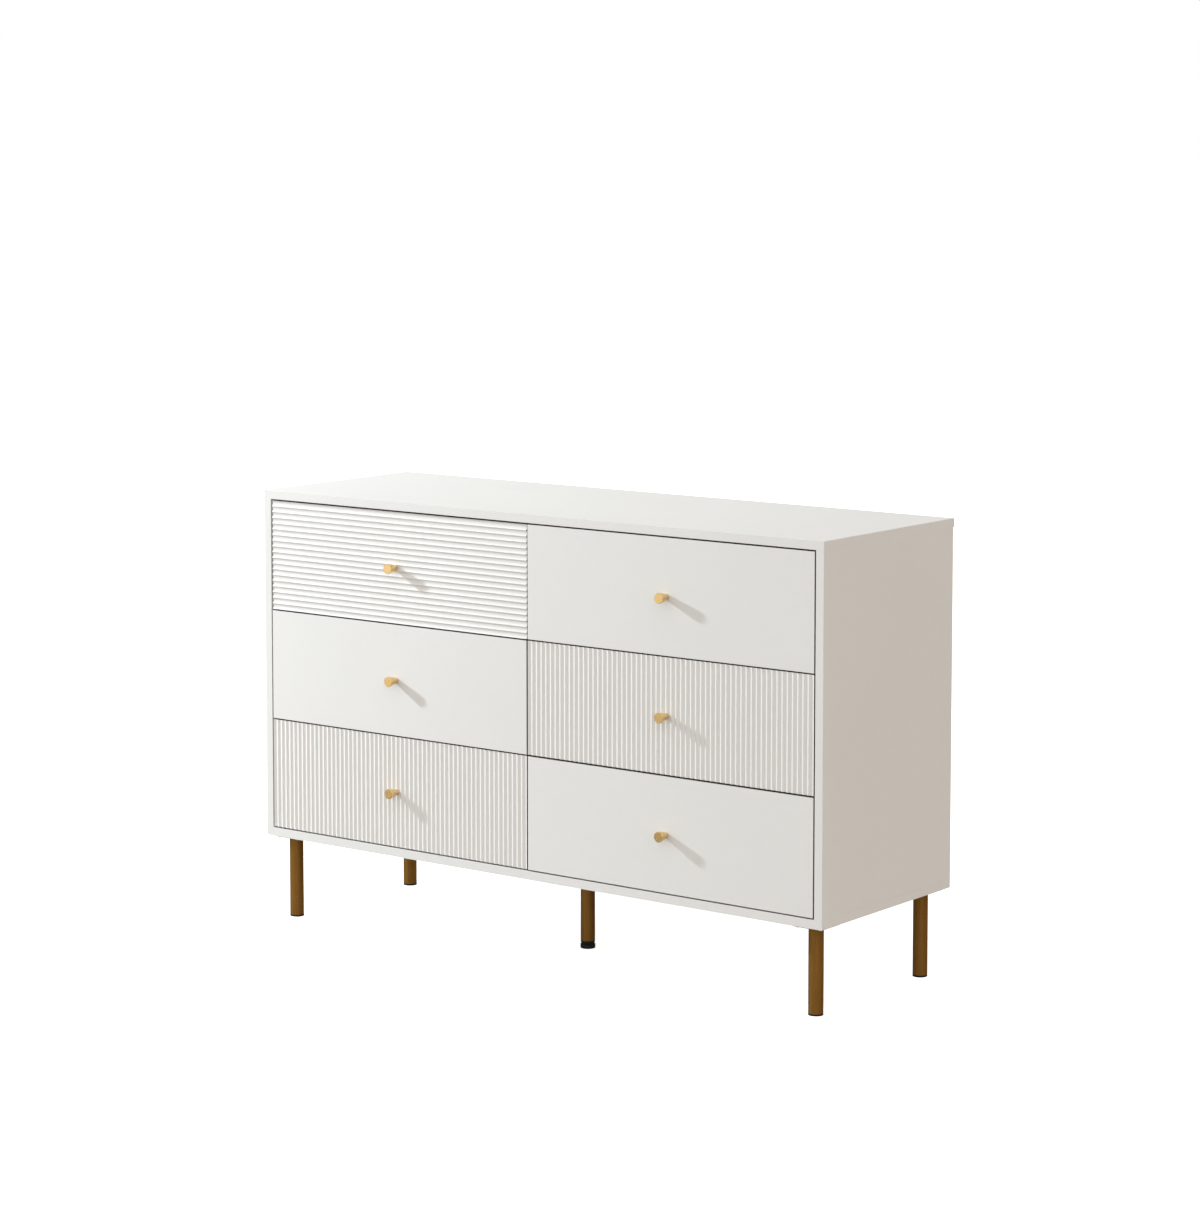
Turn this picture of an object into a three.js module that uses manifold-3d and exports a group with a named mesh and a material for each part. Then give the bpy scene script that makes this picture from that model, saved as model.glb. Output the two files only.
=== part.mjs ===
// A low dresser with six drawers in two columns, on round metal legs, in millimetres.
// +Z is up, the fronts face -Y and +X is to the right. The origin is on the floor, under
// the middle of the whole object with its knobs.

import * as THREE from "three";
import { mergeVertices } from "three/addons/utils/BufferGeometryUtils.js";
import Module from "manifold-3d";

const wasm = await Module();
wasm.setup();

// ---- Driving dimensions ----

// The case
const caseWidth = 1200;
const caseDepth = 390; // the top panel, front edge to back edge
const overallHeight = 775;
const legHeight = 150; // floor to the underside of the case
const panelThickness = 15;
const dividerThickness = 15;
const backThickness = 3;
const backEdgeInset = 2; // the back panels stop short of the case's outline
const backSeam = 1; // between the two back panels

// The drawer fronts
const frontThickness = 15;
const frontGap = 2.5; // round each front
const dividerClearance = 1; // from the back of the fronts to the divider
const flutePitch = 10; // wanted; each front takes the nearest whole number of flutes
const fluteDepth = 1.6;

// The drawer boxes
const boxWall = 12;
const boxHeight = 140;
const boxLift = 22; // from a front's lower edge to its box
const boxRearClearance = 22; // from a box to the back panels
const bottomThickness = 3;
const bottomLift = 10; // from a box's lower edge to its bottom panel
const grooveDepth = 4;

// The runners, one each side of a drawer box
const runnerSpace = 12.75; // from a box to the case's wall
const runnerHeight = 35;
const runnerReach = 9.5; // how far the channel stands off the wall
const runnerWall = 1.25;
const runnerLip = 5;
const runnerSetback = 2; // from the back of a front to its runners

// The knobs and their screws
const knobLength = 22;
const knobHeadDiameter = 18;
const knobFootDiameter = 10;
const knobRim = 1.5; // the straight edge of the head
const knobEase = 0.75;
const screwDiameter = 4;
const screwGrip = 11; // how far it goes into the knob
const screwHeadDiameter = 8;
const screwHeadHeight = 2.5;

// The legs and feet
const legDiameter = 25;
const legWall = 1.5;
const legSideInset = 36; // a corner leg's axis from the case's side
const legFrontInset = 38; // and from its front and back edges
const middleLegSetback = 168; // the middle leg's axis from the case's front edge
const plateSide = 60;
const plateThickness = 3;
const plateCorner = 8;
const plateHoleDiameter = 5;
const plateHoleInset = 9; // from the plate's edges
const capHeight = 3;
const plugLength = 15;
const padDiameter = 26;
const padHeight = 8;
const bossDiameter = 18;
const bossHeight = 2.5;
const collarHeight = 3;
const stemDiameter = 8;
const stemLength = 22;

// Fits and facets
const fit = 0.3; // between two pieces where one sits in the other
const fluteSegments = 4;
const tubeSegments = 32;
const knobSegments = 24;
const screwSegments = 16;

// ---- What follows from them ----

const front = -(caseDepth + knobLength) / 2 + knobLength; // the plane of the fronts
const back = front + caseDepth;
const backPanelFace = back - backThickness;
const caseBottom = legHeight;
const floorTop = caseBottom + panelThickness; // the upper face of the bottom panel
const ceiling = overallHeight - panelThickness; // the lower face of the top panel
const innerWidth = caseWidth - 2 * panelThickness;
const rowNames = ["bottom", "middle", "top"];
const columnNames = ["left", "right"];
const frontWidth = (innerWidth - (columnNames.length + 1) * frontGap) / columnNames.length;
const frontHeight = (ceiling - floorTop - (rowNames.length + 1) * frontGap) / rowNames.length;
const bayWidth = (innerWidth - dividerThickness) / 2;
const boxWidth = bayWidth - 2 * runnerSpace;
const boxDepth = caseDepth - frontThickness - boxRearClearance - backThickness;
const flutes = {
  top_left: "across",
  middle_right: "upright",
  bottom_left: "upright",
};

// ---- Finishes ----

const finish = (color, roughness, metalness) => () =>
  new THREE.MeshStandardMaterial({ color, roughness, metalness });
const whitePaint = finish(0xe8e8e5, 0.45, 0);
const drawerBoard = finish(0xe2e0da, 0.6, 0);
const hardboard = finish(0xd9d4c8, 0.7, 0);
const brass = finish(0xd8b068, 0.3, 1);
const bronze = finish(0x8f6b38, 0.35, 1);
const blackPlastic = finish(0x1c1a18, 0.6, 0);
const zincSteel = finish(0xb8bbbf, 0.4, 1);

// ---- Helpers ----

// A geometry as a solid that can be cut and joined.
function solid(geometry) {
  const bare = geometry.index ? geometry.toNonIndexed() : geometry.clone();
  bare.deleteAttribute("normal");
  bare.deleteAttribute("uv");
  const merged = mergeVertices(bare, 1e-4);
  return new wasm.Manifold(
    new wasm.Mesh({
      numProp: 3,
      vertProperties: merged.attributes.position.array,
      triVerts: new Uint32Array(merged.index.array),
    }),
  );
}

// A solid back as a geometry.
function geometryOf(manifold) {
  const mesh = manifold.getMesh();
  const geometry = new THREE.BufferGeometry();
  geometry.setAttribute("position", new THREE.BufferAttribute(mesh.vertProperties, 3));
  geometry.setIndex(new THREE.BufferAttribute(mesh.triVerts, 1));
  geometry.computeVertexNormals();
  return geometry;
}

// A block between two values on each axis.
function block([x0, x1], [y0, y1], [z0, z1]) {
  const geometry = new THREE.BoxGeometry(x1 - x0, y1 - y0, z1 - z0);
  return geometry.translate((x0 + x1) / 2, (y0 + y1) / 2, (z0 + z1) / 2);
}

// A round bar along Y.
function bar(diameter, y0, y1, x, z) {
  const geometry = new THREE.CylinderGeometry(
    diameter / 2, diameter / 2, y1 - y0, screwSegments);
  return geometry.translate(x, (y0 + y1) / 2, z);
}

// A profile of [radius, height] pairs turned about Y, or about Z when upright.
function turned(profile, segments, upright) {
  const points = profile.map(([radius, height]) => new THREE.Vector2(radius, height));
  const geometry = new THREE.LatheGeometry(points, segments);
  return upright ? geometry.rotateX(Math.PI / 2) : geometry;
}

function extruded(shape, length) {
  return new THREE.ExtrudeGeometry(shape, {
    depth: length,
    bevelEnabled: false,
    curveSegments: 6,
  });
}

function piece(name, geometry, material) {
  const mesh = new THREE.Mesh(geometry, material());
  mesh.name = name;
  return mesh;
}

// ---- The case ----

function caseShell() {
  const group = new THREE.Group();
  const half = caseWidth / 2;
  const innerHalf = innerWidth / 2;
  const upright = [floorTop, ceiling];
  const bodyDepth = [front, backPanelFace];
  const backHeight = [caseBottom + backEdgeInset, ceiling];
  const dividerFront = front + frontThickness + dividerClearance;
  const add = (name, material, x, y, z) =>
    group.add(piece(name, block(x, y, z), material));

  add("top_panel", whitePaint, [-half, half], [front, back], [ceiling, overallHeight]);
  add("bottom_panel", whitePaint, [-half, half], bodyDepth, [caseBottom, floorTop]);
  add("side_left", whitePaint, [-half, -innerHalf], bodyDepth, upright);
  add("side_right", whitePaint, [innerHalf, half], bodyDepth, upright);
  add("centre_divider", whitePaint, [-dividerThickness / 2, dividerThickness / 2],
    [dividerFront, backPanelFace], upright);
  add("back_panel_left", hardboard, [-half + backEdgeInset, -backSeam / 2],
    [backPanelFace, back], backHeight);
  add("back_panel_right", hardboard, [backSeam / 2, half - backEdgeInset],
    [backPanelFace, back], backHeight);
  return group;
}

// ---- The legs ----

function mountingPlate() {
  const reach = plateSide / 2;
  const bend = reach - plateCorner;
  const shape = new THREE.Shape();
  shape.absarc(bend, bend, plateCorner, 0, Math.PI / 2);
  shape.absarc(-bend, bend, plateCorner, Math.PI / 2, Math.PI);
  shape.absarc(-bend, -bend, plateCorner, Math.PI, 1.5 * Math.PI);
  shape.absarc(bend, -bend, plateCorner, 1.5 * Math.PI, 2 * Math.PI);
  const hole = reach - plateHoleInset;
  for (const [sx, sy] of [[1, 1], [-1, 1], [-1, -1], [1, -1]]) {
    const path = new THREE.Path();
    path.absarc(sx * hole, sy * hole, plateHoleDiameter / 2, 0, 2 * Math.PI);
    shape.holes.push(path);
  }
  return extruded(shape, plateThickness).translate(0, 0, legHeight - plateThickness);
}

// A plate welded on a tube that starts at the given height.
function leg(name, tubeStart) {
  const outer = legDiameter / 2;
  const inner = outer - legWall;
  const weld = legHeight - plateThickness / 2;
  const tube = turned([
    [inner, tubeStart],
    [outer, tubeStart],
    [outer, weld],
    [inner, weld],
    [inner, tubeStart],
  ], tubeSegments, true);
  return piece(name, geometryOf(solid(mountingPlate()).add(solid(tube))), bronze);
}

// A cap whose plug sits in the end of a corner leg.
function cornerFoot(name) {
  const outer = legDiameter / 2;
  const plug = outer - legWall - fit;
  const ease = capHeight / 4;
  return piece(name, turned([
    [0, 0],
    [outer - ease, 0],
    [outer, ease],
    [outer, capHeight],
    [plug, capHeight],
    [plug, capHeight + plugLength],
    [0, capHeight + plugLength],
  ], knobSegments, true), blackPlastic);
}

// The threaded collar that closes the middle leg.
function middleCollar() {
  const outer = legDiameter / 2;
  const plug = outer - legWall - fit;
  const bore = stemDiameter / 2 + fit;
  const bottom = padHeight + bossHeight;
  const seat = bottom + collarHeight;
  return piece("middle_leg_collar", turned([
    [bore, bottom],
    [outer, bottom],
    [outer, seat],
    [plug, seat],
    [plug, seat + plugLength],
    [bore, seat + plugLength],
    [bore, bottom],
  ], knobSegments, true), blackPlastic);
}

// The screw-in foot under the middle leg: a pad, a boss and a stem in the collar.
function levellingFoot() {
  const pad = padDiameter / 2;
  const boss = bossDiameter / 2;
  const stem = stemDiameter / 2;
  const ease = padHeight / 6;
  const bossTop = padHeight + bossHeight;
  return piece("levelling_foot", turned([
    [0, 0],
    [pad - ease, 0],
    [pad, ease],
    [pad, padHeight - ease],
    [pad - ease, padHeight],
    [boss, padHeight],
    [boss, bossTop],
    [stem, bossTop],
    [stem, bossTop + stemLength],
    [0, bossTop + stemLength],
  ], knobSegments, true), blackPlastic);
}

function supports() {
  const group = new THREE.Group();
  const alongX = caseWidth / 2 - legSideInset;
  const corners = [
    ["front_left", -alongX, front + legFrontInset],
    ["front_right", alongX, front + legFrontInset],
    ["back_left", -alongX, back - legFrontInset],
    ["back_right", alongX, back - legFrontInset],
  ];
  for (const [place, x, y] of corners) {
    const corner = new THREE.Group();
    corner.position.set(x, y, 0);
    corner.add(leg(`leg_${place}`, capHeight), cornerFoot(`foot_${place}`));
    group.add(corner);
  }
  const middle = new THREE.Group();
  middle.position.set(0, front + middleLegSetback, 0);
  const middleStart = padHeight + bossHeight + collarHeight;
  middle.add(leg("leg_middle", middleStart), middleCollar(), levellingFoot());
  group.add(middle);
  return group;
}

// ---- A drawer, with its front's lower edge at z = 0 and the middle of its box at x = 0 ----
// Its front overlaps the divider's edge, so the front's middle is at x = offset.

const boxStart = front + frontThickness;
const boxEnd = boxStart + boxDepth;
const bottomFace = boxLift + bottomLift;
const knobZ = frontHeight / 2;

// The outline across the flutes: shallow arcs side by side that meet in sharp ridges.
function flutedOutline(length) {
  const count = Math.round(length / flutePitch);
  const step = length / count;
  const radius = (step ** 2 / 4 + fluteDepth ** 2) / (2 * fluteDepth);
  const points = [];
  for (let i = 0; i < count; i++) {
    for (let j = 0; j < fluteSegments; j++) {
      const across = (j / fluteSegments - 0.5) * step;
      const sunk = Math.sqrt(radius ** 2 - across ** 2) - (radius - fluteDepth);
      points.push(new THREE.Vector2((i + 0.5) * step - length / 2 + across, sunk));
    }
  }
  points.push(new THREE.Vector2(length / 2, 0));
  points.push(new THREE.Vector2(length / 2, frontThickness));
  points.push(new THREE.Vector2(-length / 2, frontThickness));
  return new THREE.Shape(points);
}

function frontBlank(pattern) {
  if (pattern === "upright")
    return extruded(flutedOutline(frontWidth), frontHeight).translate(0, front, 0);
  if (pattern === "across")
    return extruded(flutedOutline(frontHeight), frontWidth)
      .rotateY(-Math.PI / 2)
      .translate(frontWidth / 2, front, frontHeight / 2);
  return block([-frontWidth / 2, frontWidth / 2], [front, front + frontThickness], [0, frontHeight]);
}

// The space that the bottom panel and its grooves take, with room added on every side.
function bottomSlab(room) {
  const half = boxWidth / 2 - boxWall + grooveDepth - fit + room;
  return block(
    [-half, half],
    [boxStart - grooveDepth + fit - room, boxEnd - boxWall + grooveDepth - fit + room],
    [bottomFace - room, bottomFace + bottomThickness + room]);
}

function drawerFront(name, pattern, offset) {
  const blank = frontBlank(pattern).translate(offset, 0, 0);
  const hole = bar(screwDiameter + 2 * fit, front - 1, boxStart + 1, offset, knobZ);
  const cut = solid(blank).subtract(solid(hole)).subtract(solid(bottomSlab(fit)));
  return piece(name, geometryOf(cut), whitePaint);
}

// Two sides and a back folded from one board, with a groove for the bottom panel.
function drawerBox(name) {
  const outer = boxWidth / 2;
  const inner = outer - boxWall;
  const shape = new THREE.Shape([
    new THREE.Vector2(-outer, boxStart),
    new THREE.Vector2(-inner, boxStart),
    new THREE.Vector2(-inner, boxEnd - boxWall),
    new THREE.Vector2(inner, boxEnd - boxWall),
    new THREE.Vector2(inner, boxStart),
    new THREE.Vector2(outer, boxStart),
    new THREE.Vector2(outer, boxEnd),
    new THREE.Vector2(-outer, boxEnd),
  ]);
  const wrap = extruded(shape, boxHeight).translate(0, 0, boxLift);
  const grooved = solid(wrap).subtract(solid(bottomSlab(fit)));
  return piece(name, geometryOf(grooved), drawerBoard);
}

// A cone that widens from the front to a flat head, with a blind hole for its screw.
function knob(name, offset) {
  const tip = front - knobLength;
  const head = knobHeadDiameter / 2;
  const bore = screwDiameter / 2 + fit;
  const shape = turned([
    [0, tip],
    [head - knobEase, tip],
    [head, tip + knobEase],
    [head, tip + knobEase + knobRim],
    [knobFootDiameter / 2, front],
    [bore, front],
    [bore, front - screwGrip - fit],
    [0, front - screwGrip - fit],
  ], knobSegments, false);
  return piece(name, shape.translate(offset, 0, knobZ), brass);
}

function knobScrew(name, offset) {
  const shank = screwDiameter / 2;
  const head = screwHeadDiameter / 2;
  const shape = turned([
    [0, front - screwGrip],
    [shank, front - screwGrip],
    [shank, boxStart],
    [head, boxStart],
    [head, boxStart + screwHeadHeight / 2],
    [head / 2, boxStart + screwHeadHeight],
    [0, boxStart + screwHeadHeight],
  ], screwSegments, false);
  return piece(name, shape.translate(offset, 0, knobZ), zincSteel);
}

function drawer(name, offset) {
  const group = new THREE.Group();
  group.add(
    drawerFront(`${name}_front`, flutes[name], offset),
    drawerBox(`${name}_box`),
    piece(`${name}_bottom`, bottomSlab(0), hardboard),
    knob(`${name}_knob`, offset),
    knobScrew(`${name}_knob_screw`, offset));
  return group;
}

// ---- A runner: a channel with lips, its web on the wall at x = 0, opening towards side ----

function runner(name, side) {
  const half = runnerHeight / 2;
  const corners = [
    [0, -half],
    [runnerReach, -half],
    [runnerReach, -half + runnerLip],
    [runnerReach - runnerWall, -half + runnerLip],
    [runnerReach - runnerWall, -half + runnerWall],
    [runnerWall, -half + runnerWall],
    [runnerWall, half - runnerWall],
    [runnerReach - runnerWall, half - runnerWall],
    [runnerReach - runnerWall, half - runnerLip],
    [runnerReach, half - runnerLip],
    [runnerReach, half],
    [0, half],
  ];
  const shape = new THREE.Shape(corners.map(([u, v]) => new THREE.Vector2(side * u, v)));
  const length = boxDepth - runnerSetback;
  return piece(name, extruded(shape, length).rotateX(Math.PI / 2).translate(0, boxEnd, 0), zincSteel);
}

// ---- The drawers in their places, with the runners that carry them ----

function bays() {
  const group = new THREE.Group();
  const runnerZ = boxLift + boxHeight / 2;
  rowNames.forEach((row, rowIndex) => {
    const z = floorTop + frontGap + rowIndex * (frontHeight + frontGap);
    columnNames.forEach((column, columnIndex) => {
      const name = `${row}_${column}`;
      const direction = columnIndex === 0 ? -1 : 1;
      const frontX = direction * (frontGap + frontWidth) / 2;
      const bayX = direction * (dividerThickness + bayWidth) / 2;
      const moving = drawer(name, frontX - bayX);
      moving.position.set(bayX, 0, z);
      group.add(moving);
      for (const [side, sign] of [["left", 1], ["right", -1]]) {
        const channel = runner(`${name}_runner_${side}`, sign);
        channel.position.set(bayX - sign * bayWidth / 2, 0, z + runnerZ);
        group.add(channel);
      }
    });
  });
  return group;
}

const dresser = new THREE.Group();
dresser.add(caseShell(), supports(), bays());

export default dresser;
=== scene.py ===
"""A low white dresser with six drawers, brass knobs and bronze legs.

Its boards, drawer fronts, boxes, runners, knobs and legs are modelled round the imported
frame, in metres. +Z is up, the fronts face -Y and +X is to the right.
"""

import math
from contextlib import contextmanager

import bmesh
import bpy
from bpy.props import FloatProperty, FloatVectorProperty, IntProperty, PointerProperty
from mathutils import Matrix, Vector


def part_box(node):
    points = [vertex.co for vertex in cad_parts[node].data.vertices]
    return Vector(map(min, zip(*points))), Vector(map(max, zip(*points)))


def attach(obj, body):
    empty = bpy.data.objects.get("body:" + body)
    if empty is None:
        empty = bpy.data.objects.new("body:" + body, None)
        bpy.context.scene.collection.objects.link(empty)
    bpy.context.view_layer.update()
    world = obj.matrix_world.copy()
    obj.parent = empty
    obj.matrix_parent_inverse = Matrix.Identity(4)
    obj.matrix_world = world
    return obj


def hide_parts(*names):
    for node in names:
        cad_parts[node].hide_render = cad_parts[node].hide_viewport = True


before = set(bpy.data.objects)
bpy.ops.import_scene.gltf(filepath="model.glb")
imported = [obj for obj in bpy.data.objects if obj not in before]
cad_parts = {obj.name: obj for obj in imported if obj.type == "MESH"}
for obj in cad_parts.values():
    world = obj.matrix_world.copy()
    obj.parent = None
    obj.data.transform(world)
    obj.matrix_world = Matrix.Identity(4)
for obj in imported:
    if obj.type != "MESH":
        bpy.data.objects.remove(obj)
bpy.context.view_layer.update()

bl_info = {
    "name": "White dresser",
    "version": (1, 0, 0),
    "blender": (4, 5, 0),
    "location": "3D View > Sidebar > Dresser",
    "description": "Models a dresser with fluted and plain drawer fronts",
    "category": "Object",
}

COLUMNS = ("left", "right")
DRAWERS = [f"{row}_{column}" for row in ("bottom", "middle", "top") for column in COLUMNS]
FLUTES = {"top_left": "across", "middle_right": "upright", "bottom_left": "upright"}
CORNERS = ("front_left", "front_right", "back_left", "back_right")
LEGS = (*CORNERS, "middle")
BOARDS = {
    "board_top": "top_panel",
    "board_bottom": "bottom_panel",
    "board_left": "side_left",
    "board_right": "side_right",
    "board_divider": "centre_divider",
}
SIDES = {"left": 1, "right": -1}
HALF_TURN = math.pi
QUARTER_TURN = math.pi / 2
NEAR = 0.000001  # lengths under this count as nothing
THROUGH = 0.1  # longer than any bore that goes through a piece

# Screws: the diameter and length of the head and of the shank
RUNNER_SCREW = {"head": 0.0066, "head_height": 0.0014, "shank": 0.0032, "shank_length": 0.009}
LEG_SCREW = {"head": 0.0085, "head_height": 0.0024, "shank": 0.004, "shank_length": 0.012}

# A tack's radius at each height from its point to its crown, where 0 is the board's face
TACK_RINGS = ((0.0007, -0.008), (0.0007, 0.0), (0.0022, 0.0), (0.0019, 0.0004),
              (0.0009, 0.0007))

# How far a leg's weld stands out from the tube at each height from the plate's underside
WELD_RINGS = ((0.0, -0.002), (0.0003, -0.0011), (0.0009, -0.0005), (0.0018, 0.0),
              (0.0018, 0.001))


# ---- Sizes and colours ----


def length(name, description, default):
    return FloatProperty(name=name, description=description, default=default, min=0.0,
                         unit="LENGTH", precision=5)


def colour(name, description, default):
    return FloatVectorProperty(name=name, description=description, default=default,
                               size=3, min=0.0, max=1.0, subtype="COLOR")


class DresserSizes(bpy.types.PropertyGroup):
    """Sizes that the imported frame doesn't give."""

    board_ease: length("Board ease", "Rounding of the boards' edges", 0.0003)
    front_ease: length("Front ease", "Rounding of the fronts' and boxes' edges", 0.0003)
    flute_pitch: length("Flute pitch", "Wanted distance from ridge to ridge", 0.01)
    flute_depth: length("Flute depth", "Depth of a flute below its ridges", 0.0021)
    ridge_ease: length("Ridge ease", "Rounding of the ridges between flutes", 0.0003)
    box_wall: length("Box wall", "Thickness of a drawer box's board", 0.012)
    groove_room: length("Groove room", "Room round a drawer's bottom panel", 0.0003)
    knob_rim: length("Knob rim", "Straight edge of a knob's head", 0.0015)
    knob_ease: length("Knob ease", "Rounding of a knob's head", 0.0006)
    knob_foot: length("Knob foot", "Diameter of a knob at the front", 0.01)
    screw_shank: length("Screw shank", "Diameter of a knob's screw", 0.004)
    rail_wall: length("Rail wall", "Thickness of the runners' sheet", 0.00125)
    rail_bend: length("Rail bend", "Outer radius of the runners' bends", 0.002)
    rail_lip: length("Rail lip", "Width of the lips on a case channel", 0.005)
    slider_height: length("Slider height", "Height of a drawer's slider", 0.022)
    slider_reach: length("Slider reach", "How far a slider stands off its box", 0.009)
    leg_diameter: length("Leg diameter", "Outside of a leg's tube", 0.025)
    leg_wall: length("Leg wall", "Thickness of a leg's tube", 0.0015)
    plate_thickness: length("Plate thickness", "Thickness of a leg's plate", 0.003)
    plate_corner: length("Plate corner", "Corner radius of a leg's plate", 0.008)
    plate_ease: length("Plate ease", "Rounding of a leg plate's edges", 0.0005)
    plate_hole: length("Plate hole", "Diameter of a plate's screw holes", 0.005)
    screw_inset: length("Screw inset", "From a plate's edges to its screws", 0.009)
    tube_ease: length("Tube ease", "Chamfer at a leg's lower end", 0.0002)
    cap_ease: length("Cap ease", "Rounding of the caps and the collar", 0.0004)
    pad_height: length("Pad height", "Height of the screw-in foot's pad", 0.008)
    pad_ease: length("Pad ease", "Rounding of the screw-in foot", 0.001)
    boss: length("Boss", "Diameter of the boss on the pad", 0.018)
    stem: length("Stem", "Diameter of the stem in the collar", 0.008)
    tack_spacing: length("Tack spacing", "Distance between the tacks at the back", 0.1)
    tack_inset: length("Tack inset", "From a back panel's edges to its tacks", 0.007)
    round_segments: IntProperty(name="Round segments", default=64, min=12, max=128,
                                description="Faces round a knob or a leg")


class DresserColours(bpy.types.PropertyGroup):
    """Main colours of the finishes."""

    paint: colour("Paint", "Boards and drawer fronts", (0.84, 0.835, 0.82))
    # The dark colour for the fronts' edge faces is painted shade, standing in for the shade
    # in the gaps between the fronts.
    tape: colour("Edge tape", "Edges of the drawer fronts", (0.13, 0.115, 0.10))
    drawer_board: colour("Drawer board", "Drawer boxes", (0.74, 0.73, 0.70))
    hardboard: colour("Hardboard", "Back panels and drawer bottoms", (0.66, 0.62, 0.55))
    brass: colour("Brass", "Knobs", (0.82, 0.58, 0.26))
    bronze: colour("Bronze", "Legs", (0.38, 0.195, 0.045))
    black: colour("Black plastic", "Feet", (0.012, 0.011, 0.011))
    zinc: colour("Zinc", "Runners and screws", (0.62, 0.63, 0.65))


# ---- Finishes ----


class Reading:
    """A node's output, for use in Python arithmetic."""

    def __init__(self, tree, socket):
        self.tree = tree
        self.socket = socket

    def other(self, output):
        """Another output of the same node."""
        return Reading(self.tree, self.socket.node.outputs[output])

    def maths(self, operation, *values):
        inputs = dict(enumerate(values))
        return self.tree.node("ShaderNodeMath", {"operation": operation}, inputs)

    def __add__(self, other):
        return self.maths("ADD", self, other)

    def __sub__(self, other):
        return self.maths("SUBTRACT", self, other)

    def __rsub__(self, other):
        return self.maths("SUBTRACT", other, self)

    def __mul__(self, other):
        return self.maths("MULTIPLY", self, other)

    __radd__ = __add__
    __rmul__ = __mul__


class Tree:
    """The nodes of a material or of the world."""

    def __init__(self, owner):
        owner.use_nodes = True
        self.nodes = owner.node_tree.nodes
        self.links = owner.node_tree.links

    def node(self, kind, settings=None, inputs=None, output=0):
        made = self.nodes.new(kind)
        for key, value in (settings or {}).items():
            if key == "stops":
                self.set_stops(made.color_ramp, value)
            else:
                setattr(made, key, value)
        for key, value in (inputs or {}).items():
            self.feed(made.inputs[key], value)
        return Reading(self, made.outputs[output])

    def set_stops(self, ramp, stops):
        while len(ramp.elements) < len(stops):
            ramp.elements.new(1.0)
        for element, (position, value) in zip(ramp.elements, stops):
            element.position = position
            element.color = (value, value, value, 1.0)

    def feed(self, socket, value):
        if isinstance(value, Reading):
            self.links.new(value.socket, socket)
        elif socket.type == "RGBA":
            socket.default_value = (*value, 1.0)
        else:
            socket.default_value = value


class Finish(Tree):
    """A material and the nodes that make it."""

    def __init__(self, name):
        self.material = bpy.data.materials.new(name)
        super().__init__(self.material)
        self.shader = self.nodes["Principled BSDF"]
        self.place = self.node("ShaderNodeTexCoord", output="Object")

    def surface(self, **inputs):
        """Sets sockets of the shader; an underscore in a name stands for a space."""
        for key, value in inputs.items():
            self.feed(self.shader.inputs[key.replace("_", " ")], value)

    def stretched(self, scale):
        return self.node("ShaderNodeMapping", None, {"Vector": self.place, "Scale": scale})

    def noise(self, scale, detail=2.0, roughness=0.5, vector=None):
        inputs = {"Vector": vector or self.place, "Scale": scale, "Detail": detail,
                  "Roughness": roughness}
        return self.node("ShaderNodeTexNoise", None, inputs)

    def graded(self, value, *stops):
        return self.node("ShaderNodeValToRGB", {"stops": stops}, {"Fac": value})

    def mixed(self, share, first, second):
        return self.node("ShaderNodeMix", {"data_type": "RGBA"},
                         {0: share, 6: first, 7: second}, 2)

    def bump(self, height, distance, strength=1.0):
        inputs = {"Height": height, "Distance": distance, "Strength": strength}
        return self.node("ShaderNodeBump", None, inputs)


def shade_of(colour_value, share):
    return tuple(channel * share for channel in colour_value)


def white_paint(finish, main):
    """Sprayed matt paint: a fine orange peel and a faint unevenness."""
    cloud = finish.noise(3.0, 4.0)
    fine = finish.noise(60.0, 3.0)
    peel = finish.noise(520.0, 3.0, 0.6)
    tone = finish.graded(cloud * 0.7 + fine * 0.3, (0.35, 0.0), (0.65, 1.0))
    finish.surface(
        Base_Color=finish.mixed(tone, shade_of(main, 0.975), main),
        Roughness=0.62 + fine * 0.12,
        Specular_IOR_Level=0.12,
        Normal=finish.bump(peel, 0.00012, 0.35),
    )


def edge_tape(finish, main):
    """Painted shade: a dark taupe with fine lengthwise lines, laid on the drawer fronts' edge
    faces so the gaps between the fronts look dark.
    """
    lines = finish.noise(1.0, 3.0, 0.6, finish.stretched((40.0, 2200.0, 40.0)))
    finish.surface(
        Base_Color=finish.mixed(lines, shade_of(main, 0.8), main),
        Roughness=0.6 + lines * 0.2,
        Specular_IOR_Level=0.3,
        Normal=finish.bump(lines, 0.00003, 0.5),
    )


def drawer_board(finish, main):
    """Foil-wrapped board with a faint fine grain along it."""
    grain = finish.noise(1.0, 5.0, 0.6, finish.stretched((30.0, 30.0, 420.0)))
    cloud = finish.noise(9.0, 3.0)
    finish.surface(
        Base_Color=finish.mixed(grain * 0.6 + cloud * 0.4, shade_of(main, 0.9), main),
        Roughness=0.48 + grain * 0.16,
        Normal=finish.bump(grain, 0.00008, 0.5),
    )


def hardboard(finish, main):
    """Pressed fibres under a thin pale coat."""
    fibres = finish.noise(1.0, 6.0, 0.7, finish.stretched((700.0, 700.0, 240.0)))
    flecks = finish.graded(finish.noise(330.0, 4.0, 0.65), (0.52, 0.0), (0.66, 1.0))
    coat = finish.mixed(fibres, shade_of(main, 0.86), main)
    finish.surface(
        Base_Color=finish.mixed(flecks * 0.5, coat, shade_of(main, 0.66)),
        Roughness=0.62 + fibres * 0.2,
        Normal=finish.bump(fibres + flecks * 0.4, 0.00015, 0.6),
    )


def brass(finish, main):
    """Satin lacquered brass with fine turning marks."""
    marks = finish.noise(1.0, 3.0, 0.6, finish.stretched((600.0, 2600.0, 600.0)))
    cloud = finish.noise(180.0, 3.0)
    finish.surface(
        Base_Color=finish.mixed(cloud, shade_of(main, 0.92), main),
        Metallic=1.0,
        Roughness=0.2 + marks * 0.12,
        Normal=finish.bump(marks, 0.00002, 0.5),
    )


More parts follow.
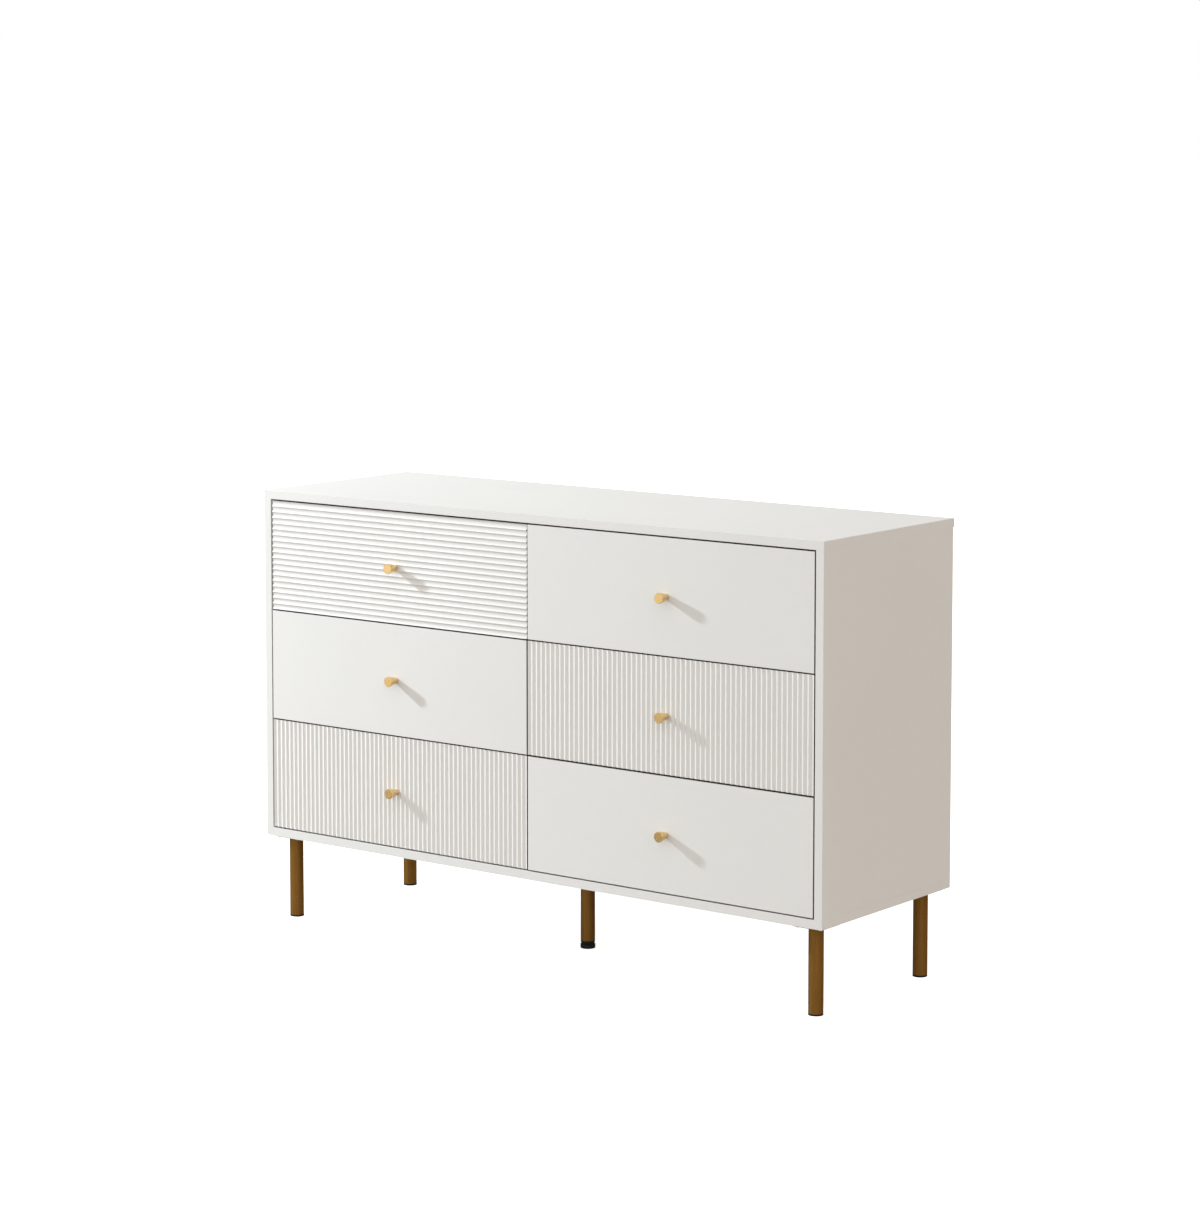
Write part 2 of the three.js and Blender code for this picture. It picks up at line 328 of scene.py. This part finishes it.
def bronze_plate(finish, main):
    """Brushed bronze lacquer: streaks along the tube and a few darker patches."""
    streaks = finish.noise(1.0, 4.0, 0.65, finish.stretched((1500.0, 1500.0, 14.0)))
    patches = finish.noise(1.0, 3.0, 0.5, finish.stretched((60.0, 60.0, 18.0)))
    tone = finish.graded(streaks * 0.75 + patches * 0.25, (0.33, 0.0), (0.68, 1.0))
    finish.surface(
        Base_Color=finish.mixed(tone, shade_of(main, 0.6), main),
        Metallic=1.0,
        Roughness=0.46 + streaks * 0.2,
        Normal=finish.bump(streaks, 0.00004, 0.7),
    )


def black_plastic(finish, main):
    """Moulded plastic with a fine spark-eroded grain."""
    grain = finish.noise(1500.0, 2.0, 0.6)
    finish.surface(
        Base_Color=finish.mixed(finish.noise(90.0), main, shade_of(main, 1.6)),
        Roughness=0.55 + grain * 0.2,
        Specular_IOR_Level=0.25,
        Normal=finish.bump(grain, 0.00006, 0.5),
    )


def zinc_steel(finish, main):
    """Zinc plating: soft crystals and rolling marks along the sheet."""
    crystals = finish.node("ShaderNodeTexVoronoi", None,
                           {"Vector": finish.place, "Scale": 240.0})
    rolled = finish.noise(1.0, 3.0, 0.6, finish.stretched((1200.0, 20.0, 1200.0)))
    finish.surface(
        Base_Color=finish.mixed(crystals, shade_of(main, 0.86), main),
        Metallic=1.0,
        Roughness=0.28 + crystals * 0.14 + rolled * 0.1,
        Normal=finish.bump(rolled, 0.00003, 0.5),
    )


FINISHES = {
    "white_paint": (white_paint, "paint"),
    # Painted shade on the fronts' edges, for the dark gaps between them
    "edge_tape": (edge_tape, "tape"),
    "drawer_board": (drawer_board, "drawer_board"),
    "hardboard": (hardboard, "hardboard"),
    "brass": (brass, "brass"),
    "bronze_plate": (bronze_plate, "bronze"),
    "black_plastic": (black_plastic, "black"),
    "zinc_steel": (zinc_steel, "zinc"),
}


def material_named(name):
    """The material of a finish, made when it is first wanted."""
    known = bpy.data.materials.get(f"dresser_{name}")
    if known:
        return known
    make, colour_name = FINISHES[name]
    finish = Finish(f"dresser_{name}")
    make(finish, tuple(getattr(bpy.context.scene.dresser_colours, colour_name)))
    return finish.material


# ---- Modelling ----


def pick(*pieces):
    """Selects these pieces alone, with the first one active."""
    bpy.ops.object.select_all(action="DESELECT")
    for piece in pieces:
        piece.select_set(True)
    bpy.context.view_layer.objects.active = pieces[0]


def apply_place(piece):
    pick(piece)
    bpy.ops.object.transform_apply(location=True, rotation=True, scale=True)
    return piece


def placed(piece, place, turn=(0.0, 0.0, 0.0)):
    """Turns a piece about the origin and moves it to its place."""
    piece.rotation_euler = turn
    piece.location = place
    return apply_place(piece)


def newest(name):
    """The piece that was just added, named and with its place in its mesh."""
    piece = bpy.context.object
    piece.name = piece.data.name = name
    return apply_place(piece)


@contextmanager
def editing(piece):
    pick(piece)
    bpy.ops.object.mode_set(mode="EDIT")
    bpy.ops.mesh.select_all(action="DESELECT")
    yield
    bpy.ops.object.mode_set(mode="OBJECT")


def select_faces(piece, wanted):
    """Selects the faces for which wanted(centre, normal) holds."""
    bpy.ops.mesh.select_mode(type="FACE")
    bpy.ops.mesh.select_all(action="DESELECT")
    mesh = bmesh.from_edit_mesh(piece.data)
    for face in mesh.faces:
        face.select_set(wanted(face.calc_center_median(), face.normal))
    bmesh.update_edit_mesh(piece.data)


def select_edges(piece, wanted):
    """Selects the edges for which wanted(edge) holds."""
    bpy.ops.mesh.select_mode(type="EDGE")
    bpy.ops.mesh.select_all(action="DESELECT")
    mesh = bmesh.from_edit_mesh(piece.data)
    for edge in mesh.edges:
        edge.select_set(wanted(edge))
    bmesh.update_edit_mesh(piece.data)


def extrude(move):
    bpy.ops.mesh.extrude_region_move(TRANSFORM_OT_translate={"value": move})


def extrude_edges(move):
    bpy.ops.mesh.extrude_edges_move(TRANSFORM_OT_translate={"value": move})


def resize(scale, centre=(0.0, 0.0, 0.0)):
    bpy.ops.transform.resize(value=scale, center_override=centre)


def turn_faces_out(piece):
    with editing(piece):
        bpy.ops.mesh.select_all(action="SELECT")
        bpy.ops.mesh.normals_make_consistent(inside=False)


def with_modifier(piece, kind, **settings):
    """Adds a modifier with these settings and applies it."""
    pick(piece)
    modifier = piece.modifiers.new(kind.title(), kind)
    for key, value in settings.items():
        setattr(modifier, key, value)
    bpy.ops.object.modifier_apply(modifier=modifier.name)
    return piece


def soften(piece, width, segments=3, sharp_over=30):
    return with_modifier(piece, "BEVEL", width=width, segments=segments,
                         limit_method="ANGLE", angle_limit=math.radians(sharp_over))


def cut(piece, *cutters):
    """Takes the cutters' shapes out of the piece."""
    for cutter in cutters:
        with_modifier(piece, "BOOLEAN", object=cutter, operation="DIFFERENCE",
                      solver="EXACT")
        bpy.data.objects.remove(cutter)
    return piece


def block(name, low, high):
    low, high = Vector(low), Vector(high)
    bpy.ops.mesh.primitive_cube_add(size=1, location=(low + high) / 2, scale=high - low)
    return newest(name)


def drill(radius, depth, place, along_y=False, segments=24):
    """A round cutter about place, along Z or along Y."""
    bpy.ops.mesh.primitive_cylinder_add(
        vertices=segments, radius=radius, depth=depth, location=place,
        rotation=(QUARTER_TURN if along_y else 0.0, 0.0, 0.0))
    return newest("drill")


def turned(name, rings, segments, place=(0.0, 0.0, 0.0), forward=False):
    """A round piece, drawn out ring by ring from a cylinder that spans the first two.

    Each ring is a radius and a height along +Z from place, or along -Y when forward.
    """
    (radius, start), (next_radius, height) = rings[:2]
    bpy.ops.mesh.primitive_cylinder_add(
        vertices=segments, radius=radius, depth=height - start, end_fill_type="NGON",
        location=(0, 0, (start + height) / 2))
    piece = newest(name)
    with editing(piece):
        select_faces(piece, lambda centre, normal: normal.z > 0.9)
        resize((next_radius / radius, next_radius / radius, 1))
        for (r0, z0), (r1, z1) in zip(rings[1:], rings[2:]):
            extrude((0, 0, z1 - z0))
            resize((r1 / r0, r1 / r0, 1))
    return placed(piece, place, (QUARTER_TURN if forward else 0.0, 0.0, 0.0))


def copy_of(piece, name, move):
    pick(piece)
    bpy.ops.object.duplicate(linked=False)
    bpy.context.object.location = move
    return newest(name)


def joined(name, pieces):
    pick(*pieces)
    bpy.ops.object.join()
    return newest(name)


def settle(piece, body, finish, replaced=None, smooth_under=10):
    """Shades a finished piece, gives it its finish and ties it to the frame.

    Flat faces stay flat up to their eases, which turn by 15 degrees or more at each step.
    """
    pick(piece)
    bpy.ops.object.shade_smooth_by_angle(angle=math.radians(smooth_under))
    piece.data.materials.clear()
    piece.data.materials.append(material_named(finish))
    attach(piece, body)
    if replaced:
        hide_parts(replaced)
    return piece


def coat(node, finish):
    """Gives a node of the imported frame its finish."""
    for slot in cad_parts[node].material_slots:
        slot.material = material_named(finish)


def middle(node):
    low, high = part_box(node)
    return (low + high) / 2


def body_of_drawer(drawer):
    return f"drawer_{drawer}"


# ---- Screws ----


def pan_screw(name, head, head_height, shank, shank_length):
    """A screw with a domed head up along +Z, which has a cross-shaped recess."""
    rim = head_height * 0.45
    rings = [(shank / 2, -shank_length), (shank / 2, 0.0), (head / 2, 0.0), (head / 2, rim),
             (head * 0.42, head_height * 0.8), (head * 0.3, head_height)]
    screw = turned(name, rings, segments=24)
    reach, slot = head * 0.29, head * 0.06
    for x, y in ((reach, slot), (slot, reach)):
        cut(screw, block("wing", (-x, -y, rim), (x, y, head_height * 2)))
    return screw


# ---- Drawer fronts ----


def plain_front(name, low, high, ease):
    return soften(block(name, low, high), ease)


def fluted_front(name, low, high, pattern, sizes):
    """Shallow round flutes side by side: one trough, repeated, then given its thickness."""
    across, along = high.x - low.x, high.z - low.z
    if pattern == "across":
        across, along = along, across
    thickness = high.y - low.y
    count = round(across / sizes.flute_pitch)
    step, depth = across / count, sizes.flute_depth
    radius = (step ** 2 / 4 + depth ** 2) / (2 * depth)
    bpy.ops.mesh.primitive_cylinder_add(
        vertices=60, radius=radius, depth=along, end_fill_type="NOTHING",
        location=((step - across) / 2, depth - radius, 0))
    piece = newest(name)
    with editing(piece):
        bpy.ops.mesh.select_all(action="SELECT")
        bpy.ops.mesh.bisect(plane_co=(0, 0, 0), plane_no=(0, 1, 0), clear_inner=True,
                            threshold=NEAR)
    with_modifier(piece, "ARRAY", count=count, use_relative_offset=False,
                  use_constant_offset=True, constant_offset_displace=(step, 0, 0),
                  use_merge_vertices=True, merge_threshold=0.0001)
    with editing(piece):
        select_edges(piece, lambda edge: edge.is_boundary)
        extrude_edges((0, thickness, 0))
        resize((1, 0, 1), (0, thickness, 0))
        bpy.ops.mesh.edge_face_add()
    turn_faces_out(piece)
    soften(piece, sizes.ridge_ease, 2)
    place = ((low.x + high.x) / 2, low.y, (low.z + high.z) / 2)
    return placed(piece, place, (0.0, QUARTER_TURN if pattern == "across" else 0.0, 0.0))


def groove_cutter(drawer, room):
    """A drawer's bottom panel with room all round, to cut its grooves."""
    low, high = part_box(f"{drawer}_bottom")
    margin = Vector((room, room, room))
    return block("groove", low - margin, high + margin)


class DRESSER_OT_fronts(bpy.types.Operator):
    """Models the six drawer fronts, fluted or plain"""

    bl_idname = "dresser.fronts"
    bl_label = "Drawer fronts"

    def execute(self, context):
        sizes = context.scene.dresser_sizes
        for drawer in DRAWERS:
            low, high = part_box(f"{drawer}_front")
            name, pattern = f"front_{drawer}", FLUTES.get(drawer)
            if pattern:
                piece = fluted_front(name, low, high, pattern, sizes)
            else:
                piece = plain_front(name, low, high, sizes.front_ease)
            knob = middle(f"{drawer}_knob")
            bore = drill(sizes.screw_shank / 2 + sizes.groove_room, THROUGH,
                         (knob.x, high.y, knob.z), along_y=True)
            cut(piece, bore, groove_cutter(drawer, sizes.groove_room))
            settle(piece, body_of_drawer(drawer), "white_paint", f"{drawer}_front")
            # Painted shade: the fronts' edge faces get a dark finish so the gaps look dark
            self.paint_gap_shade(piece)
        return {"FINISHED"}

    def paint_gap_shade(self, piece):
        """Paints shade onto the faces that look up, down and sideways, so the gaps between
        the fronts look dark.
        """
        piece.data.materials.append(material_named("edge_tape"))
        with editing(piece):
            select_faces(piece, lambda centre, normal: abs(normal.y) < 0.3)
            piece.active_material_index = 1
            bpy.ops.object.material_slot_assign()


# ---- Drawer boxes ----


class DRESSER_OT_boxes(bpy.types.Operator):
    """Models the drawer boxes, each folded from one grooved board, and gives their bottoms a
    hardboard finish
    """

    bl_idname = "dresser.boxes"
    bl_label = "Drawer boxes"

    def execute(self, context):
        sizes = context.scene.dresser_sizes
        wall = sizes.box_wall
        for drawer in DRAWERS:
            low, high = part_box(f"{drawer}_box")
            inner = (low.x + wall, high.x - wall)
            piece = block(f"box_{drawer}", (low.x, high.y - wall, low.z), high)
            with editing(piece):
                for x in inner:
                    bpy.ops.mesh.select_all(action="SELECT")
                    bpy.ops.mesh.bisect(plane_co=(x, 0, 0), plane_no=(1, 0, 0))
                select_faces(piece, lambda centre, normal: normal.y < -0.9
                             and not inner[0] < centre.x < inner[1])
                extrude((0, low.y - high.y + wall, 0))
            soften(piece, sizes.front_ease, 2)
            cut(piece, groove_cutter(drawer, sizes.groove_room))
            settle(piece, body_of_drawer(drawer), "drawer_board", f"{drawer}_box")
            coat(f"{drawer}_bottom", "hardboard")
        return {"FINISHED"}


# ---- Knobs ----


class DRESSER_OT_knobs(bpy.types.Operator):
    """Models the conical knobs and the screws that hold them"""

    bl_idname = "dresser.knobs"
    bl_label = "Knobs"

    def execute(self, context):
        sizes = context.scene.dresser_sizes
        for drawer in DRAWERS:
            low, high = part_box(f"{drawer}_knob")
            screw_low, screw_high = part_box(f"{drawer}_knob_screw")
            front_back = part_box(f"{drawer}_front")[1].y
            place = Vector(((low.x + high.x) / 2, high.y, (low.z + high.z) / 2))
            knob_length = high.y - low.y
            bore_end = high.y - screw_low.y + sizes.groove_room
            head = (high.x - low.x) / 2
            rings = [(sizes.knob_foot / 2, 0.0), (head, knob_length - sizes.knob_rim),
                     (head, knob_length)]
            knob = turned(f"knob_{drawer}", rings, sizes.round_segments, place,
                          forward=True)
            soften(knob, sizes.knob_ease, sharp_over=50)
            cut(knob, drill(sizes.screw_shank / 2 + sizes.groove_room, 2 * bore_end, place,
                            along_y=True))
            settle(knob, body_of_drawer(drawer), "brass", f"{drawer}_knob")
            screw = pan_screw(
                f"knob_screw_{drawer}", head=screw_high.x - screw_low.x,
                head_height=screw_high.y - front_back, shank=sizes.screw_shank,
                shank_length=front_back - screw_low.y)
            placed(screw, (place.x, front_back, place.z), (-QUARTER_TURN, 0.0, 0.0))
            settle(screw, body_of_drawer(drawer), "zinc_steel", f"{drawer}_knob_screw",
                   smooth_under=20)
        return {"FINISHED"}


# ---- The case ----


class DRESSER_OT_case(bpy.types.Operator):
    """Models the eased boards of the case, and the tacks that hold its back panels"""

    bl_idname = "dresser.case"
    bl_label = "Case"

    def execute(self, context):
        sizes = context.scene.dresser_sizes
        for name, node in BOARDS.items():
            piece = soften(block(name, *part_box(node)), sizes.board_ease)
            settle(piece, "case", "white_paint", node)
        for side in COLUMNS:
            coat(f"back_panel_{side}", "hardboard")
            self.tack_down(side, sizes)
        return {"FINISHED"}

    def spread(self, low, high, sizes):
        """Evenly spaced places from edge to edge of a back panel."""
        inset = sizes.tack_inset
        steps = round((high - low) / sizes.tack_spacing)
        return [low + inset + (high - low - 2 * inset) * step / steps
                for step in range(steps + 1)]

    def tack_down(self, side, sizes):
        """Tacks along the edges of a back panel."""
        low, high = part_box(f"back_panel_{side}")
        first = turned("tack", TACK_RINGS, segments=12)
        placed(first, (0, high.y, 0), (-QUARTER_TURN, 0.0, 0.0))
        xs = self.spread(low.x, high.x, sizes)
        zs = self.spread(low.z, high.z, sizes)
        places = [(x, z) for x in xs for z in (zs[0], zs[-1])]
        places += [(x, z) for z in zs[1:-1] for x in (xs[0], xs[-1])]
        tacks = [copy_of(first, "tack", (x, 0, z)) for x, z in places]
        bpy.data.objects.remove(first)
        settle(joined(f"tacks_{side}", tacks), "case", "zinc_steel", smooth_under=35)


# ---- Runners ----


def rail(name, wall_x, side, reach, lip, low, high, sizes):
    """Sheet metal bent into a channel: its web on wall_x, open towards side along X."""
    height, run = high.z - low.z, high.y - low.y
    centre = (wall_x, (low.y + high.y) / 2, (low.z + high.z) / 2)
    bpy.ops.mesh.primitive_plane_add(size=1, location=centre, rotation=(0, QUARTER_TURN, 0))
    bpy.context.object.scale = (height, run, 1)
    piece = newest(name)
    with editing(piece):
        for level, turn in ((high.z, -1), (low.z, 1)):
            select_edges(piece, lambda edge: all(abs(vertex.co.z - level) < NEAR
                                                 for vertex in edge.verts))
            extrude_edges((side * reach, 0, 0))
            extrude_edges((0, 0, turn * lip))
        select_edges(piece, lambda edge: not edge.is_boundary)
        bpy.ops.mesh.bevel(offset=sizes.rail_bend, segments=3, affect="EDGES",
                           offset_type="OFFSET")
        bpy.ops.mesh.select_all(action="SELECT")
        bpy.ops.mesh.normals_make_consistent(inside=False)
    web = max(piece.data.polygons, key=lambda face: face.area)
    outward = web.normal.x * side < 0
    with_modifier(piece, "SOLIDIFY", thickness=sizes.rail_wall,
                  offset=-1 if outward else 1)
    turn_faces_out(piece)
    return piece


class DRESSER_OT_runners(bpy.types.Operator):
    """Models the case channels, the sliders on the drawer boxes and their screws"""

    bl_idname = "dresser.runners"
    bl_label = "Runners"

    def execute(self, context):
        sizes = context.scene.dresser_sizes
        for drawer in DRAWERS:
            box_low, box_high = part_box(f"{drawer}_box")
            for side, sign in SIDES.items():
                node = f"{drawer}_runner_{side}"
                low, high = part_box(node)
                wall_x = low.x if sign > 0 else high.x
                channel = rail(f"channel_{drawer}_{side}", wall_x, sign, high.x - low.x,
                               sizes.rail_lip, low, high, sizes)
                settle(channel, "case", "zinc_steel", node)
                box_x = box_low.x if sign > 0 else box_high.x
                level = (low.z + high.z) / 2
                half = sizes.slider_height / 2
                slider = rail(f"slider_{drawer}_{side}", box_x, -sign, sizes.slider_reach,
                              sizes.rail_bend, Vector((0, low.y, level - half)),
                              Vector((0, high.y, level + half)), sizes)
                settle(slider, body_of_drawer(drawer), "zinc_steel")
                rails = (("channel", wall_x, sign, "case"),
                         ("slider", box_x, -sign, body_of_drawer(drawer)))
                for kind, x, turn, body in rails:
                    screws = self.screws(x + turn * sizes.rail_wall, turn, low, high)
                    piece = joined(f"{kind}_screws_{drawer}_{side}", screws)
                    settle(piece, body, "zinc_steel", smooth_under=20)
        return {"FINISHED"}

    def screws(self, x, turn, low, high):
        """Three screws through a rail's web, with their heads on x."""
        first = pan_screw("screw", **RUNNER_SCREW)
        placed(first, (x, 0, (low.z + high.z) / 2), (0.0, turn * QUARTER_TURN, 0.0))
        run = high.y - low.y
        screws = [copy_of(first, "screw", (0, low.y + run * share, 0))
                  for share in (0.1, 0.5, 0.9)]
        bpy.data.objects.remove(first)
        return screws


# ---- Legs and feet ----


class DRESSER_OT_legs(bpy.types.Operator):
    """Models the tubular legs, their plates and the screws that hold them"""

    bl_idname = "dresser.legs"
    bl_label = "Legs"

    def execute(self, context):
        sizes = context.scene.dresser_sizes
        for name in LEGS:
            low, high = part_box(f"leg_{name}")
            centre = middle(f"leg_{name}")
            piece = self.plate(f"tube_{name}", low, high, sizes)
            tube = self.tube(low.z, high.z, (centre.x, centre.y, 0), sizes)
            with_modifier(piece, "BOOLEAN", object=tube, operation="UNION", solver="EXACT")
            bpy.data.objects.remove(tube)
            settle(piece, "case", "bronze_plate", f"leg_{name}")
            self.fasten(name, low, high, sizes)
        return {"FINISHED"}

    def plate(self, name, low, high, sizes):
        """A square plate with round corners, eased edges and four screw holes."""
        under = high.z - sizes.plate_thickness
        piece = block(name, (low.x, low.y, under), high)
        with editing(piece):
            select_edges(piece, self.stands_upright)
            bpy.ops.mesh.bevel(offset=sizes.plate_corner, segments=8, affect="EDGES")
        soften(piece, sizes.plate_ease, 2)
        for x, y in self.screw_places(low, high, sizes):
            cut(piece, drill(sizes.plate_hole / 2, depth=0.02, place=(x, y, high.z)))
        return piece

    def stands_upright(self, edge):
        first, second = edge.verts
        return abs(first.co.z - second.co.z) > NEAR

    def screw_places(self, low, high, sizes):
        """Where the four screws of a plate stand."""
        inset = sizes.screw_inset
        return [(x, y) for x in (low.x + inset, high.x - inset)
                for y in (low.y + inset, high.y - inset)]

    def tube(self, start, top, place, sizes):
        """A hollow tube that flares into a weld where it meets its plate."""
        outer = sizes.leg_diameter / 2
        under = top - sizes.plate_thickness
        ease = sizes.tube_ease
        rings = [(outer - ease, start), (outer, start + ease * 1.5)]
        rings += [(outer + out, under + up) for out, up in WELD_RINGS]
        tube = turned("tube", rings, sizes.round_segments)
        with editing(tube):
            select_faces(tube, lambda centre, normal: normal.z < -0.9)
            bpy.ops.mesh.inset(thickness=sizes.leg_wall - ease)
            extrude((0, 0, under - start))
        return placed(tube, place)

    def fasten(self, name, low, high, sizes):
        """Four screws up through the plate."""
        first = pan_screw("screw", **LEG_SCREW)
        placed(first, (0, 0, high.z - sizes.plate_thickness), (HALF_TURN, 0.0, 0.0))
        screws = [copy_of(first, "screw", (x, y, 0))
                  for x, y in self.screw_places(low, high, sizes)]
        bpy.data.objects.remove(first)
        settle(joined(f"leg_screws_{name}", screws), "case", "zinc_steel", smooth_under=20)


class DRESSER_OT_feet(bpy.types.Operator):
    """Models the corner legs' caps, and the collar and screw-in foot of the middle leg"""

    bl_idname = "dresser.feet"
    bl_label = "Feet"

    def execute(self, context):
        sizes = context.scene.dresser_sizes
        segments = sizes.round_segments
        plug = sizes.leg_diameter / 2 - sizes.leg_wall - sizes.groove_room
        for name in CORNERS:
            low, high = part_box(f"foot_{name}")
            centre = (low + high) / 2
            outer = (high.x - low.x) / 2
            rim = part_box(f"leg_{name}")[0].z
            rings = [(outer, low.z), (outer, rim), (plug, rim), (plug, high.z)]
            cap = turned(f"cap_{name}", rings, segments, (centre.x, centre.y, 0))
            soften(cap, sizes.cap_ease, 3)
            settle(cap, "case", "black_plastic", f"foot_{name}")
        self.collar(plug, sizes)
        self.screw_foot(sizes)
        return {"FINISHED"}

    def collar(self, plug, sizes):
        """A ring under the middle leg, with a plug in its tube and a bore for the stem."""
        low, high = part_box("middle_leg_collar")
        centre = (low + high) / 2
        outer = (high.x - low.x) / 2
        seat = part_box("leg_middle")[0].z
        rings = [(outer, low.z), (outer, seat), (plug, seat), (plug, high.z)]
        piece = turned("collar_middle", rings, sizes.round_segments,
                       (centre.x, centre.y, 0))
        soften(piece, sizes.cap_ease, 2)
        cut(piece, drill(sizes.stem / 2 + sizes.groove_room, THROUGH,
                         (centre.x, centre.y, seat), segments=32))
        settle(piece, "case", "black_plastic", "middle_leg_collar")

    def screw_foot(self, sizes):
        """A wide pad, a boss and a stem that screws into the collar."""
        low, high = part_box("levelling_foot")
        centre = (low + high) / 2
        pad, boss, stem = (high.x - low.x) / 2, sizes.boss / 2, sizes.stem / 2
        pad_top = low.z + sizes.pad_height
        boss_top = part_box("middle_leg_collar")[0].z
        rings = [(pad, low.z), (pad, pad_top), (boss, pad_top), (boss, boss_top),
                 (stem, boss_top), (stem, high.z)]
        piece = turned("levelling_pad", rings, sizes.round_segments,
                       (centre.x, centre.y, 0))
        soften(piece, sizes.pad_ease, 3)
        settle(piece, "levelling_foot", "black_plastic", "levelling_foot")


# ---- The stage ----


class DRESSER_OT_stage(bpy.types.Operator):
    """Sets a pale floor, soft studio light and the camera"""

    bl_idname = "dresser.stage"
    bl_label = "Stage"

    def execute(self, context):
        scene = context.scene
        self.floor()
        self.sky(scene)
        self.key_light()
        self.strip_light()
        self.camera(scene)
        scene.view_settings.view_transform = "Standard"
        return {"FINISHED"}

    def floor(self):
        """A floor that looks plain and pale, and throws a dimmer, warmer light back up."""
        bpy.ops.object.select_all(action="DESELECT")
        bpy.ops.mesh.primitive_plane_add(size=120)
        floor = newest("floor")
        finish = Finish("stage_floor")
        finish.surface(Base_Color=(0.9, 0.9, 0.9), Roughness=1.0,
                       Emission_Color=(1.0, 1.0, 1.0), Emission_Strength=0.8)
        bounce = finish.node("ShaderNodeBsdfDiffuse", None, {"Color": (0.36, 0.33, 0.29)})
        seen = finish.node("ShaderNodeLightPath", output="Is Camera Ray")
        shown = Reading(finish, finish.shader.outputs["BSDF"])
        both = finish.node("ShaderNodeMixShader", None, {0: seen, 1: bounce, 2: shown})
        finish.feed(finish.nodes["Material Output"].inputs["Surface"], both)
        floor.data.materials.append(finish.material)

    def sky(self, scene):
        """A white backdrop, and soft light that differs from side to side."""
        scene.world = bpy.data.worlds.new("studio")
        sky = Tree(scene.world)
        direction = sky.node("ShaderNodeTexCoord", output="Generated")
        along = sky.node("ShaderNodeSeparateXYZ", None, {0: direction})
        light = None
        for axis, sign, tint in (
                ("Z", 1, (0.50, 0.50, 0.47)), ("X", -1, (0.04, 0.04, 0.04)),
                ("X", 1, (0.80, 0.69, 0.61)), ("Y", -1, (0.96, 0.96, 0.97)),
                ("Y", 1, (0.25, 0.25, 0.25))):
            facing = along.other(axis) * sign
            share = facing.maths("MAXIMUM", facing, 0.0)
            part = sky.node("ShaderNodeVectorMath", {"operation": "SCALE"},
                            {0: tint, "Scale": share})
            light = part if light is None else sky.node(
                "ShaderNodeVectorMath", {"operation": "ADD"}, {0: light, 1: part})
        seen = sky.node("ShaderNodeLightPath", output="Is Camera Ray")
        white = sky.node("ShaderNodeBackground", None, {"Color": (1.0, 1.0, 1.0)})
        soft = sky.node("ShaderNodeBackground", None, {"Color": light})
        both = sky.node("ShaderNodeMixShader", None, {0: seen, 1: soft, 2: white})
        sky.feed(sky.nodes["World Output"].inputs["Surface"], both)

    def key_light(self):
        """A small lamp on the left, a little in front, that throws the knobs' shadows."""
        target = Vector((0.0, -0.2, 0.46))
        place = target + Vector((-3.424, -1.16, 1.736))
        lamp = self.lamp("key", place, target, watts=136.0)
        lamp.data.shape = "DISK"
        lamp.data.size = 0.24
        lamp.data.color = (0.86, 0.94, 1.0)

    def strip_light(self):
        """A low soft box on the left, which only reflections see."""
        place, target = Vector((-1.8, -2.3, 0.5)), Vector((0.0, 0.0, 0.4))
        lamp = self.lamp("strip", place, target, watts=4.5)
        lamp.data.shape = "RECTANGLE"
        lamp.data.size = 1.5
        lamp.data.size_y = 1.1
        lamp.visible_diffuse = False

    def lamp(self, name, place, target, watts):
        """A lamp turned towards target, which no camera sees."""
        aim = (place - target).to_track_quat("Z", "Y").to_euler()
        bpy.ops.object.light_add(type="AREA", location=place, rotation=aim)
        lamp = bpy.context.object
        lamp.name = name
        lamp.data.energy = watts
        lamp.visible_camera = False
        return lamp

    def camera(self, scene):
        yaw, pitch = math.radians(37.437), math.radians(5.264)
        bpy.ops.object.camera_add(location=(3.6101, -4.6969, 1.4633),
                                  rotation=(QUARTER_TURN - pitch, 0, yaw))
        camera = bpy.context.object
        camera.data.sensor_width = 36
        camera.data.lens = 103.35
        camera.data.shift_y = -0.15
        camera.data.clip_end = 300
        scene.camera = camera


OPERATORS = (
    DRESSER_OT_case,
    DRESSER_OT_fronts,
    DRESSER_OT_boxes,
    DRESSER_OT_knobs,
    DRESSER_OT_runners,
    DRESSER_OT_legs,
    DRESSER_OT_feet,
    DRESSER_OT_stage,
)


class DRESSER_PT_pieces(bpy.types.Panel):
    """Lists the dresser's sizes, colours and pieces"""

    bl_idname = "DRESSER_PT_pieces"
    bl_label = "Dresser"
    bl_space_type = "VIEW_3D"
    bl_region_type = "UI"
    bl_category = "Dresser"

    def draw(self, context):
        layout = self.layout
        for group in (context.scene.dresser_sizes, context.scene.dresser_colours):
            box = layout.box()
            for name in group.__annotations__:
                box.prop(group, name)
        for operator in OPERATORS:
            layout.operator(operator.bl_idname)


CLASSES = (DresserSizes, DresserColours, *OPERATORS, DRESSER_PT_pieces)


def register():
    for kind in CLASSES:
        bpy.utils.register_class(kind)
    bpy.types.Scene.dresser_sizes = PointerProperty(type=DresserSizes)
    bpy.types.Scene.dresser_colours = PointerProperty(type=DresserColours)


def unregister():
    del bpy.types.Scene.dresser_colours
    del bpy.types.Scene.dresser_sizes
    for kind in reversed(CLASSES):
        bpy.utils.unregister_class(kind)


def main():
    register()
    bpy.ops.dresser.case()
    bpy.ops.dresser.fronts()
    bpy.ops.dresser.boxes()
    bpy.ops.dresser.knobs()
    bpy.ops.dresser.runners()
    bpy.ops.dresser.legs()
    bpy.ops.dresser.feet()
    bpy.ops.dresser.stage()
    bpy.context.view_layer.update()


if __name__ == "__main__":
    main()
